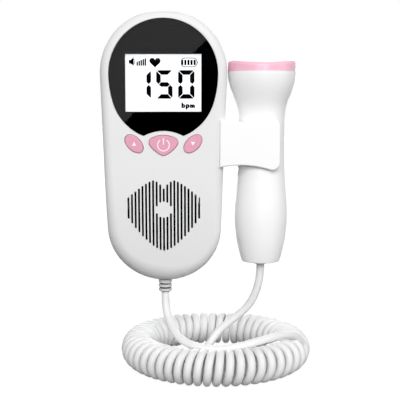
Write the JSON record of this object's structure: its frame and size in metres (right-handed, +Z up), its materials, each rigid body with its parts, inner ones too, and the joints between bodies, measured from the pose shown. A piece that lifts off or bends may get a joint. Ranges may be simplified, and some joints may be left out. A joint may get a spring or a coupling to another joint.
{
  "type": "fetal doppler monitor",
  "caption": "Hand-held ultrasound heartbeat monitor with a display and a grille, and a probe on a curled cord held in its side clip.",
  "frame": {"origin": "centre of the hand unit, where a hand holds it", "axes": "+Z up along the unit, -Y the side with the display, +X towards the probe in its clip"},
  "size_m": [0.1061, 0.0982, 0.1797],
  "materials": {
    "housing_white": "satin moulded ABS",
    "probe_white": "polished moulded ABS",
    "clip_white": "satin moulded plastic",
    "button_pink": "satin pink plastic",
    "ring_pink": "soft pink plastic",
    "lens_clear": "polished clear acrylic",
    "mask_black": "black print under the lens",
    "lcd_glass": "display glass",
    "light_box": "white diffuser",
    "board_green": "solder mask",
    "chip_black": "moulded package",
    "component_metal": "drawn cans and plated parts",
    "screw_steel": "zinc plated",
    "speaker_black": "moulded basket",
    "magnet_steel": "plated cup",
    "cloth_black": "dust cloth",
    "cell_jacket": "printed metal jacket",
    "contact_metal": "nickel plated",
    "relief_grey": "soft moulded relief",
    "face_grey": "acoustic face",
    "crystal_silver": "fired silver electrode",
    "backing_dark": "damping layer",
    "cord_white": "soft jacket"
  },
  "bodies": {
    "unit": {"front_cover": "housing_white", "rear_cover": "housing_white", "housing_screws": "screw_steel", "display_window": "lens_clear", "window_mask": "mask_black", "lcd_frame": "light_box", "lcd_panel": "lcd_glass", "backlight": "light_box", "main_board": "board_green", "board_screws": "screw_steel", "processor_chip": "chip_black", "amplifier_chip": "chip_black", "board_parts": "component_metal", "tact_switches": "chip_black", "speaker_frame": "speaker_black", "speaker_magnet": "magnet_steel", "speaker_cone": "speaker_black", "grille_cloth": "cloth_black", "battery_1": "cell_jacket", "battery_2": "cell_jacket", "battery_springs": "contact_metal", "battery_plates": "contact_metal", "earphone_socket": "chip_black", "unit_strain_relief": "relief_grey", "probe_clip": "clip_white", "cord_tail_unit": "cord_white", "cord_curl": "cord_white", "cord_tail_probe": "cord_white"},
    "volume_up_button": {"volume_up_button": "button_pink"},
    "power_button": {"power_button": "button_pink"},
    "volume_down_button": {"volume_down_button": "button_pink"},
    "battery_cover": {"battery_cover": "housing_white"},
    "probe": {"probe_shell": "probe_white", "probe_collar": "ring_pink", "transducer_face": "face_grey", "transmit_crystal": "crystal_silver", "receive_crystal": "crystal_silver", "crystal_backing": "backing_dark", "probe_board": "board_green", "probe_end_cap": "probe_white", "probe_strain_relief": "relief_grey"}
  },
  "joints": [
    {"name": "volume_up_press", "type": "slide", "parent": "unit", "child": "volume_up_button", "axis": [0, 1, 0], "range_m": [0, 0.0008], "stiffness_N_per_m": 800},
    {"name": "power_press", "type": "slide", "parent": "unit", "child": "power_button", "axis": [0, 1, 0], "range_m": [0, 0.0008], "stiffness_N_per_m": 800},
    {"name": "volume_down_press", "type": "slide", "parent": "unit", "child": "volume_down_button", "axis": [0, 1, 0], "range_m": [0, 0.0008], "stiffness_N_per_m": 800},
    {"name": "battery_cover_slide", "type": "slide", "parent": "unit", "child": "battery_cover", "axis": [0, 0, -1], "range_m": [0, 0.008]},
    {"name": "probe_slide", "type": "slide", "parent": "unit", "child": "probe", "axis": [1, 0, 0], "range_m": [0, 0.03]}
  ]
}
